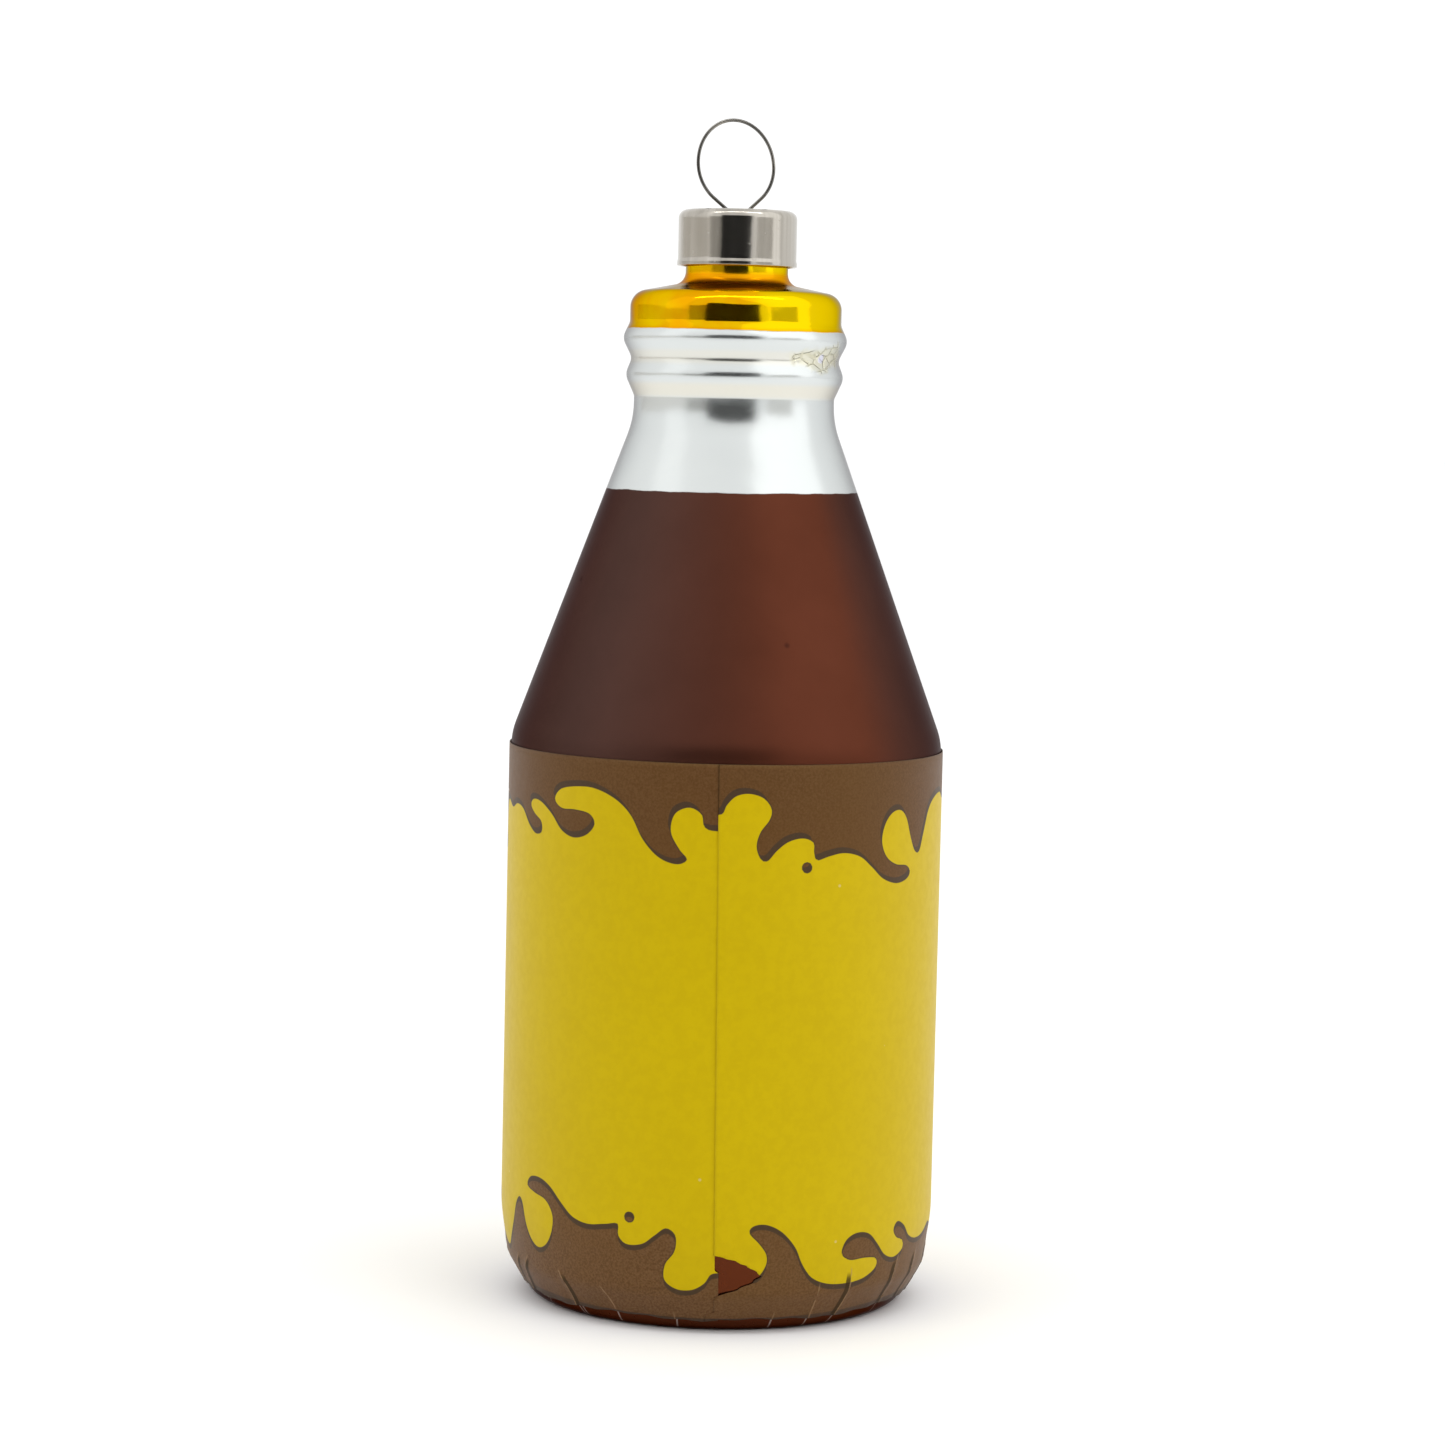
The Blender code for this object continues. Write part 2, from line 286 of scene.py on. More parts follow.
def coated_glass():
    """Three coats over silvered glass, told apart by height with slightly ragged edges."""
    coat = Finish("coated_glass", Metallic=1.0, IOR=1.5, Specular_Tint=(0.44, 0.43, 0.44, 1.0))
    x, y, z = (coat.axis(k) for k in "XYZ")
    cloud = coat.noise(70.0, 4.0, 0.6)
    drift = coat.noise(45.0, 1.0) - 0.5
    rag = coat.noise(320.0, 3.0) - 0.5
    speckle = coat.noise(1500.0, 2.0)

    # Where each coat ends.
    gold_edge = neck_foot + 10.38 * MM
    gold_line = z + x * 0.007 + rag * (0.3 * MM) + drift * (0.45 * MM)
    gold = coat.step(gold_line, gold_edge - 0.05 * MM, gold_edge + 0.05 * MM)
    silver_edge = neck_foot - 8.15 * MM
    silver_line = z + rag * (0.3 * MM) + drift * (0.5 * MM)
    silver = coat.step(silver_line, silver_edge - 0.05 * MM, silver_edge + 0.05 * MM)
    below_label = coat.step(z, 50 * MM, 40 * MM)

    # Brown: a painted highlight makes it redder in front and to the right of it, and a painted sheen makes it
    # greyer at the sides; it is thinner and glossier below the label.
    painted_sheen_brown = coat.mix(cloud, srgb(66, 47, 42), srgb(82, 58, 52))
    painted_highlight_brown = coat.mix(cloud, srgb(80, 42, 29), srgb(96, 52, 37))
    side = x / (x ** 2 + y ** 2 + 1e-8) ** 0.5
    brown_tone = coat.mix(coat.step(side, -0.8, 0.35) * coat.step(side, 0.95, 0.6), painted_sheen_brown, painted_highlight_brown)
    heel_tone = coat.mix(cloud, srgb(84, 41, 23), srgb(98, 49, 29))
    brown_tone = coat.mix(below_label, brown_tone, heel_tone)
    pit = coat.node("ShaderNodeTexVoronoi", None, {"Vector": coat.place, "Scale": 95.0})
    brown_tone = coat.mix(coat.step(pit, 0.05, 0.02) * 0.6, brown_tone, srgb(46, 24, 20))

    # Silver: a painted warm reflection makes it creamy under the lower ring and in the groove between the
    # rings.
    silver_tone = coat.mix(cloud, srgb(208, 213, 213), srgb(219, 222, 220))
    painted_reflection_under_ring = coat.step(z, neck_foot + 2.3 * MM, neck_foot + 3.0 * MM)
    painted_reflection_under_ring *= coat.step(z, neck_foot + 4.6 * MM, neck_foot + 3.8 * MM)
    painted_reflection_in_groove = coat.step(abs(z - (neck_foot + 7.2 * MM)), 1.1 * MM, 0.4 * MM)
    silver_tone = coat.mix(painted_reflection_under_ring * 0.55 + painted_reflection_in_groove * 0.4, silver_tone, srgb(224, 217, 198))

    # Gold: more orange to the left and along its edge, and a deeper orange of painted shade in the corner at
    # the pike's foot, which is also rougher there.
    gold_tone = coat.mix(coat.step(cloud + x * 14.0, 0.3, 0.55), srgb(226, 158, 4), srgb(228, 194, 4))
    edge_glow = coat.step(gold_line, gold_edge + 0.5 * MM, gold_edge)
    gold_tone = coat.mix(edge_glow * 0.5, gold_tone, srgb(216, 140, 4))
    painted_shade_at_pike_foot = coat.step(abs(z - pike_foot - 0.4 * MM), 1.2 * MM, 0.3 * MM)
    gold_tone = coat.mix(painted_shade_at_pike_foot * 0.7, gold_tone, srgb(232, 138, 8))

    # The chip: crackled coating round a bare spot.
    chip_x, chip_y, chip_z = chip_place
    far = (((x - chip_x) ** 2 + (y - chip_y) ** 2) * 0.14 + (z - chip_z) ** 2) ** 0.5
    crackle = coat.node("ShaderNodeTexVoronoi", {"feature": "DISTANCE_TO_EDGE"},
                        {"Vector": coat.stretched(1.0, 1.0, 1.7), "Scale": 620.0, "Randomness": 1.0})
    stained = coat.step(far + rag * (3.4 * MM), 2.0 * MM, 1.3 * MM)
    cracks = coat.step(crackle, 0.12, 0.03) * stained
    silver_tone = coat.mix(stained * 0.5, silver_tone, srgb(214, 210, 180))
    silver_tone = coat.mix(cracks * 0.3, silver_tone, srgb(172, 166, 130))
    chip = coat.step(((x - chip_x) ** 2 + (y - chip_y) ** 2 + (z - chip_z) ** 2) ** 0.5
                     + rag * (1.8 * MM), 0.8 * MM, 0.5 * MM)
    silver_tone = coat.mix(chip, silver_tone, srgb(214, 214, 226))

    round_front = coat.maths("ARCTAN2", x, -y) * (body_radius / MM)
    for at, lean in PALE_TICKS:
        tick = coat.step(abs(round_front - at - (z / MM - TICK_MIDDLE) * lean), 0.13, 0.07)
        tick *= coat.step(z, 0.2 * MM, 0.4 * MM) * coat.step(z, 2.4 * MM, 2.2 * MM)
        brown_tone = coat.mix(tick * 0.65, brown_tone, srgb(208, 190, 180))
    coat.feed("Base Color", coat.mix(gold, coat.mix(silver, brown_tone, silver_tone), gold_tone))

    matte = 0.36 - silver * 0.16 - below_label * 0.12 + speckle * 0.05
    coat.feed("Roughness", matte * (1 - gold) + gold * (0.09 + cloud * 0.06 + painted_shade_at_pike_foot * 0.16))
    swell = coat.noise(120.0, 1.0, 0.5, coat.stretched(1.0, 1.0, 1.6))
    grain = coat.bump(speckle, 0.08, 0.05 * MM)
    cracked = coat.bump(stained * 0.5 - cracks + chip * 0.8, 0.6, 0.12 * MM, grain)
    uneven = swell * (0.12 + silver * 0.3 + gold * 0.6)
    coat.feed("Normal", coat.bump(uneven, 0.45, 1.0 * MM, cracked))
    return coat.material


outside = resampled(rounded(glass_outline()), 0.9 * MM)
lip = rounded([(pike_radius - WALL / 2, pike_top, 0), (pike_radius - WALL, pike_top, LIP_ROUND),
               (pike_radius - WALL, pike_top - 0.5 * MM, 0)], 15)
below_lip = glass_outline()[:-2] + [(pike_radius, pike_top - 0.7 * MM, 0)]
inside = beside(resampled(rounded(below_lip, 12), 1.6 * MM), WALL)[::-1]
inside[-1, 0] = 0                     # the last point lies on the axis
wall = np.vstack([outside, lip[1:], inside])
glass = surface("glass_bottle_blown", turned(wall, GLASS_TURNS), round_columns=True,
                pole_start=True, pole_end=True)
glass.data.materials.append(coated_glass())
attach(glass, "bottle")
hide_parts("glass_bottle")

# ---- Paper label --------------------------------------------------------------------
# One strip of printed adhesive paper wrapped round the body and pressed down over the
# heel, where it pleats.  Its over end laps its under end at the seam, and is torn there.

LAP = 0.6 * MM
PLEAT_RISE = 0.13 * MM
SEAM_TOP_DEG = -91.8
SEAM_FOOT_DEG = -90.1
label_top = label_high[2]
label_foot = label_low[2]
round_length = 2 * math.pi * (body_radius + GLUE + PAPER)


def graded(stretches):
    """Places along a line: each stretch (start, end, spacing) is divided evenly."""
    parts = [np.linspace(a, b, max(1, math.ceil((b - a) / gap)), endpoint=False) for a, b, gap in stretches]
    return np.concatenate(parts + [[stretches[-1][1]]])


def between(x, low, high):
    """0 at low, 1 at high, smooth between."""
    t = np.clip((x - low) / (high - low), 0, 1)
    return t * t * (3 - 2 * t)


# The lower edge of the brown print along the top, then the upper edge of the one along the
# foot: points of a smooth line, (mm round from the front, mm up), right and left of the seam.
TOP_RIGHT = [
    (-2.5, 59.1), (-0.9, 59.1), (-0.2, 59.3), (0.2, 60.2), (1.2, 61.2), (2.7, 61.5), (4.3, 61.0),
    (5.2, 59.8), (5.0, 58.6), (4.0, 57.2), (3.6, 55.6), (4.1, 54.2), (4.9, 54.0), (5.9, 55.1),
    (7.2, 56.1), (8.9, 56.5), (10.2, 56.0), (10.3, 54.9),
    (10.7, 54.0), (12.2, 54.4), (14.2, 54.7), (16.4, 54.2), (18.2, 52.9), (20.0, 51.5), (22.3, 50.8),
    (24.3, 51.1), (25.1, 51.9), (24.3, 52.7), (22.2, 53.0), (20.5, 54.0), (19.7, 55.8), (20.2, 57.7),
    (21.4, 58.9), (22.9, 59.1), (24.1, 58.1), (25.1, 55.8), (26.1, 54.2), (27.2, 54.1), (28.2, 56.0),
    (29.6, 58.6), (31.6, 59.9), (34.5, 60.3)]
TOP_LEFT = [
    (-33.0, 57.6), (-31.0, 58.2), (-29.0, 57.8), (-27.2, 56.2), (-25.6, 55.3), (-24.3, 55.6), (-24.4, 56.8),
    (-25.9, 57.6), (-26.8, 58.5), (-26.1, 59.2), (-24.4, 59.0), (-22.3, 57.8), (-20.6, 56.2), (-18.6, 55.5),
    (-16.6, 56.0), (-15.5, 57.3), (-16.3, 58.4), (-18.4, 58.7), (-20.6, 58.7), (-21.8, 59.6), (-20.8, 60.8),
    (-18.4, 61.3), (-15.6, 61.3), (-12.8, 60.3), (-10.8, 58.6), (-9.3, 56.0), (-7.4, 54.1), (-5.3, 53.4),
    (-4.1, 54.0), (-5.0, 55.1), (-6.0, 57.0), (-5.6, 59.0), (-4.0, 59.8), (-2.6, 59.1), (-2.3, 57.8),
    (-1.4, 57.3), (0.9, 57.3)]
FOOT_RIGHT = [
    (-2.5, 7.3), (-0.4, 7.4), (1.5, 7.1), (3.4, 6.9), (4.9, 6.9), (5.8, 8.2), (5.8, 9.5),
    (4.9, 10.8), (3.8, 12.0), (4.3, 12.8), (5.8, 12.9), (7.6, 12.0), (9.2, 10.2), (10.2, 8.2),
    (11.6, 6.5), (13.8, 5.6), (16.6, 5.4),
    (19.2, 5.7), (21.0, 6.7), (20.8, 7.8), (18.8, 8.1), (16.6, 8.1), (15.3, 9.0), (15.8, 10.5), (17.3, 11.2),
    (19.2, 10.9), (20.8, 9.5), (22.4, 8.0), (24.4, 7.4), (26.1, 8.1), (25.8, 9.2), (24.4, 9.7), (23.6, 10.7),
    (24.4, 11.6), (25.9, 10.9), (27.3, 9.5), (29.4, 8.8), (32.0, 8.9), (34.5, 9.8)]
FOOT_LEFT = [
    (-33.4, 6.2), (-31.6, 7.7), (-29.9, 9.8), (-28.9, 12.1), (-28.0, 12.9), (-27.1, 12.2), (-26.2, 9.8),
    (-25.1, 8.2), (-23.7, 7.7), (-22.1, 8.5), (-21.0, 10.2), (-20.9, 12.0), (-22.2, 13.5), (-24.4, 14.0),
    (-26.0, 14.6), (-25.3, 15.7), (-23.4, 15.9), (-21.4, 15.2), (-19.4, 13.6), (-17.6, 12.3), (-15.4, 11.8),
    (-13.0, 12.1), (-11.4, 12.3), (-11.3, 11.0), (-10.3, 10.1), (-8.4, 10.3), (-6.9, 11.4), (-5.6, 12.3),
    (-4.5, 11.5), (-4.6, 9.7), (-5.7, 8.1), (-5.8, 6.3), (-4.4, 5.3), (-2.6, 5.3), (-1.2, 6.1), (-0.4, 7.2),
    (0.9, 7.4)]
DROPLETS = [(9.5, 53.2), (149.0, 13.2), (52.0, 52.6), (98.0, 14.0), (71.0, 13.6), (112.0, 53.0)]
DROPLET_RADIUS = 0.64
TOP_LEVEL = 58.6                      # mm up, where the far side's plain drips start
FOOT_LEVEL = 8.4
DRIP_WIDTH = 8.6                      # about


def back_drips(start, end, level, way):
    """Points of a run of plain drips between two places, for the side away from the seam.

    Each drip is one unit wide: it leaves the level, swings out by its own reach (way is -1
    for down and 1 for up), curls back under itself and rejoins the level.
    """
    drip = [(0.0, 0.0), (0.2, 0.1), (0.38, 0.55), (0.5, 0.95), (0.64, 1.0), (0.7, 0.8), (0.62, 0.5),
            (0.68, 0.12), (0.84, -0.1)]
    count = round((end - start) / DRIP_WIDTH)
    width = (end - start) / count
    points = []
    for k in range(count):            # reach and lift in mm, a little different for each drip
        reach = 4.2 + 1.5 * math.sin(2.3 * k + way)
        lift = 0.9 * math.cos(1.7 * k)
        points += [(start + (k + u) * width, level + lift + way * reach * v) for u, v in drip]
    return points


def smooth_line(points, steps=7):
    """A smooth line through the points: the Catmull-Rom cubic on each span."""
    p = np.array(points)
    p = np.vstack([2 * p[0] - p[1], p, 2 * p[-1] - p[-2]])
    t = np.linspace(0, 1, steps, endpoint=False)[:, None]
    spans = []
    for a, b, c, d in zip(p, p[1:], p[2:], p[3:]):
        squared = (2 * a - 5 * b + 4 * c - d) * t ** 2
        cubed = (3 * b - 3 * c + d - a) * t ** 3
        spans.append(0.5 * (2 * b + (c - a) * t + squared + cubed))
    return np.vstack(spans + [p[-2:-1]])


def distance_to(line, s, z):
    """Distance to the line, in mm, negative above it.

    It is the least distance to any of the line's straight pieces. A point is above the line
    when an even number of pieces pass over it.
    """
    nearest = np.full(s.shape, 99.0)
    above = np.ones(s.shape, dtype=bool)
    for a, b in zip(line, line[1:]):
        run = b - a
        share = np.clip(((s - a[0]) * run[0] + (z - a[1]) * run[1]) / (run @ run), 0, 1)
        nearest = np.minimum(nearest, np.hypot(s - a[0] - share * run[0], z - a[1] - share * run[1]))
        spans = (a[0] > s) != (b[0] > s)
        height = a[1] + (s - a[0]) * run[1] / (run[0] if run[0] else 1.0)
        above ^= spans & (height > z)
    return np.where(above, -nearest, nearest)


def border(right, left, level, way, whole):
    """One border from the seam round to the seam again, as a smooth line."""
    back = back_drips(right[-1][0] + 2.0, whole + left[0][0] - 1.0, level, way)
    return smooth_line(right + back + [(whole + s, z) for s, z in left])


def brown_distance(s, z, whole):
    """Distance out of the brown print, in mm, negative inside it; s is mm round from the front."""
    upper = distance_to(border(TOP_RIGHT, TOP_LEFT, TOP_LEVEL, -1, whole), s, z)
    lower = -distance_to(border(FOOT_RIGHT, FOOT_LEFT, FOOT_LEVEL, 1, whole), s, z)
    brown = np.minimum(upper, lower)
    for at, height in DROPLETS:
        brown = np.minimum(brown, np.hypot(s - at, z - height) - DROPLET_RADIUS)
    return brown


def torn_back(z):
    """How far the over end is torn back from the seam at a height, in mm."""
    heights = [2.2, 2.35, 4.5, 4.6, 4.9, 5.3, 5.7, 6.1, 6.5, 6.9, 7.2, 7.6, 8.0, 8.3, 8.5, 8.8, 9.0, 9.3, 9.4]
    reach = [-1.1, 0.0, 0.0, 0.6, 1.1, 2.7, 3.2, 4.5, 4.7, 5.6, 5.1, 4.9, 3.9, 3.7, 2.8, 2.6, 1.5, 0.8, 0.0]
    return np.interp(z, heights, reach)


def torn_under(z):
    """How far the under end reaches past the seam: it is torn too, above the foot's print."""
    return np.interp(z, [7.4, 7.55, 9.6, 9.8], [0.55, 0.1, 0.1, LAP / MM])


ROUND = 159.0                         # mm round the label
# Each pleat: place at the foot edge, place at its top, height of its top, sideways bow, in
# mm round from the seam and mm up, and its depth.
PLEATS = [(-32.6, -29.4, 6.4, 0.3, 1.0), (-29.4, -26.4, 6.6, -0.2, 1.0), (-19.2, -20.6, 6.0, 0.5, 0.9),
          (-12.7, -14.4, 5.2, 0.4, 0.35), (-4.8, -4.9, 2.9, 0.0, 0.2), (7.4, 7.6, 2.8, 0.0, 0.2),
          (12.4, 12.8, 6.3, 0.0, 0.4), (16.3, 17.0, 7.6, 0.4, 0.9), (24.9, 25.8, 8.0, -0.6, 1.0),
          (29.6, 30.8, 8.0, -0.4, 1.0), (35.0, 36.8, 8.2, 0.3, 0.9)]
PLEATS += [(at, at + 1.2 * math.sin(at), 5.8 + 1.6 * math.cos(2.3 * at), 0.3 * math.sin(3 * at), 0.7)
           for at in np.arange(41.0, 122.0, 5.3)]


def pleat_fields(s, z):
    """Signed distance to the nearest pleat, in mm, positive away from the front, and depth."""
    nearest = np.full(s.shape, 9.0)
    depth = np.zeros(s.shape)
    for foot, top, height, bow, deep in PLEATS:
        t = np.clip((z - label_foot / MM) / (height - label_foot / MM), 0, 1.2)
        line = foot + (top - foot) * t + bow * 4 * t * (1 - t)
        off = (s - line + ROUND / 2) % ROUND - ROUND / 2
        off = off * math.copysign(1, foot if abs(foot) < ROUND / 2 else -1)
        closer = np.abs(off) < np.abs(nearest)
        nearest = np.where(closer, off, nearest)
        depth = np.where(closer, deep * between(1 - t, 0, 0.35), depth)
    return nearest, depth


def label_grid():
    """The label's outer face: rows go down the side and round the heel, columns go round.

    Radius is the glass's own plus glue and paper, plus one more paper where the over end
    lies on the under end; each column's angle is its length round divided by the radius.
    Also given, for each point: mm round from the seam, mm round from the front, and height.
    """
    side = rounded(glass_outline()[3:8], 1.5)
    side = resampled(side[::-1], 0.1 * MM)
    side = beside(side, GLUE + PAPER)
    side = side[(side[:, 1] < label_top) & (side[:, 1] > label_foot)]
    length = np.concatenate([[0], np.cumsum(np.linalg.norm(np.diff(side, axis=0), axis=1))]) / MM

    def down_to(height):
        return length[np.searchsorted(-side[:, 1], -height * MM)]

    # Points are closest over the print's edges, the tear, the pleats and the seam.
    down = graded([(0, down_to(62), 0.9), (down_to(62), down_to(50), 0.34), (down_to(50), down_to(17), 1.5),
                   (down_to(17), down_to(9.6), 0.34), (down_to(9.6), down_to(4.9), 0.2),
                   (down_to(4.9), length[-1], 0.3)])
    whole = round_length / MM
    fine_to = 38
    across = graded([(0, fine_to, 0.34), (fine_to, whole - fine_to, 0.75),
                     (whole - fine_to, whole + LAP / MM, 0.34)])
    radius = np.interp(down, length, side[:, 0])[:, None]
    height = np.interp(down, length, side[:, 1])[:, None]
    torn = torn_back(height / MM)
    end = whole + torn_under(height / MM)
    around = torn + (end - torn) * across / across[-1]
    lift = PAPER * 1.15 * (1 - between(around, LAP / MM + 0.2, LAP / MM + 1.6))
    off, depth = pleat_fields(around, height / MM + 0 * around)
    lift = lift + PLEAT_RISE * depth * np.exp(-((off - 0.1) / 0.3) ** 2)
    seam_share = (height - label_foot) / (label_top - label_foot)
    seam = np.radians(SEAM_FOOT_DEG + (SEAM_TOP_DEG - SEAM_FOOT_DEG) * seam_share)
    angle = seam + around * MM / (body_radius + GLUE + PAPER)
    radius = radius + lift
    foot_wave = 0.12 * MM * np.sin(around * 0.31) + 0.07 * MM * np.sin(around * 1.3 + 1)
    height = height + foot_wave * between(-height, -5 * MM, -label_foot)
    grid = np.stack([radius * np.cos(angle), radius * np.sin(angle), height + 0 * angle], axis=2)
    from_front = (angle + math.pi / 2) * (body_radius + GLUE + PAPER)
    return grid, around, from_front / MM, height + 0 * around


def printed_paper():
    """Print on paper: brown over yellow with a darker shade line, fine grain and specks, and painted light:
    shade on the brown towards the top, highlights and shade at the pleats, and shadow along the seam and the
    top edge.
    """
    ink = Finish("printed_paper", Specular_IOR_Level=0.25, Specular_Tint=(1.0, 0.84, 0.3, 1.0))
    edge, shade, seam, foot, pleat, depth = (
        ink.node("ShaderNodeAttribute", {"attribute_name": name}, out="Fac")
        for name in ("brown_edge", "shade_edge", "seam", "foot", "pleat", "depth"))
    dots = ink.noise(4000.0, 2.0, 0.6)
    fibre = ink.noise(900.0, 3.0, 0.6)
    cloud = ink.noise(60.0, 3.0, 0.55)
    yellow = ink.mix(cloud, srgb(192, 165, 0), srgb(202, 176, 0))
    yellow = ink.mix(ink.step(fibre, 0.35, 0.65) * 0.2, yellow, srgb(176, 146, 0))
    brown = ink.mix(ink.step(dots, 0.3, 0.7), srgb(84, 55, 34), srgb(108, 76, 52))
    brown = ink.mix(ink.step(cloud, 0.3, 0.7) * 0.35, brown, srgb(100, 68, 36))
    z = ink.axis("Z")
    # Painted shade: the brown print is darker and yellower towards the top.
    brown = ink.mix(ink.step(z, 20 * MM, 50 * MM) * 0.5, brown, srgb(84, 52, 24))
    dark = ink.mix(dots, srgb(58, 42, 34), srgb(72, 54, 44))
    inside = ink.step(edge, 0.05, -0.05)
    shaded = 1 - (1 - ink.step(shade, -0.05, 0.05)) * ink.step(edge, -0.06, -0.16)
    tone = ink.mix(inside, yellow, ink.mix(shaded, brown, dark))
    tone = ink.mix(ink.step(foot, 0.04, -0.04) * 0.9, tone, dark)

    chips = ink.node("ShaderNodeTexVoronoi", None, {"Vector": ink.place, "Scale": 130.0})
    tone = ink.mix(ink.step(chips, 0.028, 0.02) * (0.2 + inside * 0.65), tone, srgb(232, 226, 214))
    spots = ink.node("ShaderNodeTexVoronoi", None, {"Vector": ink.stretched(1.0, 1.3, 0.9), "Scale": 61.0})
    tone = ink.mix(ink.step(spots, 0.016, 0.01), tone, srgb(64, 36, 8))
    # Painted light at the pleats: a pale highlight line along each crease and a dark shade beside it.
    painted_pleat_highlight = ink.step(depth, 0.02, 0.3) * ink.step(abs(pleat - 0.1), 0.14, 0.05)
    painted_pleat_shade = ink.step(depth, 0.3, 0.9) * ink.step(abs(pleat + 0.24) - depth * 0.16, 0.24, 0.1)
    tone = ink.mix(painted_pleat_shade * 0.9, tone, srgb(44, 25, 10))
    tone = ink.mix(painted_pleat_highlight * ink.step(fibre, 0.25, 0.6) * 0.6, tone, srgb(156, 122, 90))
    # Painted shadow: a dark line along the seam where the over end's edge lies on the under end, faint on the
    # yellow and strong in the brown near the top.
    tone = ink.mix(ink.step(seam, 0.13, 0.03) * (0.08 + inside * ink.step(z, 50 * MM, 55 * MM) * 0.8),
                   tone, srgb(50, 28, 8))
    # Painted shadow: a thin dark line along the label's top edge.
    tone = ink.mix(ink.step(z + fibre * (0.1 * MM), label_top - 0.1 * MM, label_top) * 0.6, tone, dark)
    ink.feed("Base Color", tone)
    ink.feed("Roughness", 0.4 + fibre * 0.12)
    tooth = ink.bump(fibre, 0.15, 0.04 * MM)
    ink.feed("Normal", ink.bump(cloud, 0.3, 0.3 * MM, tooth))
    return ink.material


def write_field(piece, name, values):
    """Give each point of a mesh one number, which its finish reads by name."""
    field = piece.data.attributes.new(name, "FLOAT", "POINT")
    field.data.foreach_set("value", values.ravel().astype(np.float32))


grid, around, from_front, height = label_grid()
whole = round_length / MM
label = surface("label_paper", grid)
z = height / MM
s = np.where(around > whole / 2, around - whole, around)
write_field(label, "brown_edge", brown_distance(from_front, z, whole))
# The shade line is the same outline, shifted up and to the left at the top and down at the foot.
MIDDLE = 33                           # mm up, between the two borders
at_top = z > MIDDLE
shifted_round = from_front + np.where(at_top, 0.32, 0.0)
shifted_up = z + np.where(at_top, -0.68, 0.62)
write_field(label, "shade_edge", brown_distance(shifted_round, shifted_up, whole))
write_field(label, "seam", around - torn_back(z))
write_field(label, "foot", z - label_foot / MM - 0.25 - 0.55 * np.clip(s / 25, -1, 1) ** 2)
pleat, depth = pleat_fields(around, z)
write_field(label, "pleat", pleat)
write_field(label, "depth", depth)
thickness = label.modifiers.new("paper", "SOLIDIFY")
thickness.thickness = PAPER
thickness.offset = -1
label.data.materials.append(printed_paper())
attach(label, "bottle")
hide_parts("label_wrap")

# ---- Cap ----------------------------------------------------------------------------
# A shallow cup drawn from thin steel and plated bright, with a small turned-out rim.  It
# sits over the pike and is held there by the hanger.

cap_low, cap_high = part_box("ornament_cap")
CAP_TURNS = 240
CAP_SHEET = 0.4 * MM
cap_radius = pike_radius + 0.55 * MM + CAP_SHEET
cap_top = cap_high[2]
cap_rim = cap_low[2]
HOLE = 1.89 * MM                      # radius


def plated_steel():
    """Bright plate with draw lines, fine scratches and a faint haze, and a dull inside."""
    plate = Finish("plated_steel")
    haze = plate.noise(160.0, 3.0)
    scratch = plate.noise(900.0, 2.0, 0.6, plate.stretched(1.0, 1.0, 0.12))
    rub = plate.noise(1100.0, 2.0, 0.6, plate.stretched(0.3, 1.6, 1.0))
    marks = plate.step(rub, 0.66, 0.74)
    draw = plate.noise(420.0, 3.0, 0.65, plate.stretched(1.0, 1.0, 0.04))
    tone = plate.mix(plate.step(draw, 0.3, 0.7), srgb(160, 155, 146), srgb(194, 189, 180))
    x, y, z = (plate.axis(k) for k in "XYZ")
    cap_bore = cap_radius - CAP_SHEET
    outer = plate.step((x ** 2 + y ** 2) ** 0.5, cap_bore + 0.03 * MM, cap_bore + 0.1 * MM)
    bright = 1 - (1 - outer) * plate.step(z, cap_top - CAP_SHEET / 2, cap_top - CAP_SHEET)
    tone = plate.mix(haze * 0.4, tone, srgb(186, 181, 171))
    plate.feed("Base Color", plate.mix(bright, srgb(196, 194, 188), tone))
    plate.feed("Metallic", bright)
    plate.feed("Roughness", 0.1 + draw * 0.1 + marks * 0.2)
    fine = plate.bump(scratch, 0.1, 0.02 * MM)
    plate.feed("Normal", plate.bump(haze, 0.25, 0.3 * MM, fine))
    return plate.material


flare = cap_radius + 0.08 * MM
cup = rounded([
    (HOLE, cap_top - CAP_SHEET, 0.05 * MM), (cap_radius - CAP_SHEET, cap_top - CAP_SHEET, 0.4 * MM),
    (cap_radius - CAP_SHEET, cap_rim + 0.1 * MM, 0), (cap_radius - 0.2 * MM, cap_rim, 0.12 * MM),
    (flare, cap_rim, 0.14 * MM), (flare, cap_rim + 0.45 * MM, 0.25 * MM),
    (cap_radius, cap_rim + 0.8 * MM, 0.5 * MM),
    (cap_radius, cap_top, 1.0 * MM), (HOLE, cap_top, 0.08 * MM), (HOLE, cap_top - CAP_SHEET / 2, 0)], 8)
cap = surface("cap_cup", turned(resampled(cup, 0.25 * MM), CAP_TURNS), round_columns=True, round_rows=True)
cap.data.materials.append(plated_steel())
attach(cap, "cap")
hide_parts("ornament_cap")

# ---- Hanger -------------------------------------------------------------------------
# One length of drawn spring wire: a loop above the cap, a waist in its hole, and two legs
# that spring apart inside the pike and hold the ornament up.

WIRE_RADIUS = 0.2 * MM
_, wire_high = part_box("hanger_wire")
loop_half = wire_high[0] - WIRE_RADIUS
loop_level = cap_top + 5.2 * MM
loop_rise = wire_high[2] - WIRE_RADIUS - loop_level
loop_drop = 4.85 * MM
LOOP_LEAN = 1.1                       # run inwards for each unit of drop, below the loop
waist = cap_top - 0.5 * MM
LOOP_TILT_DEG = 3.8


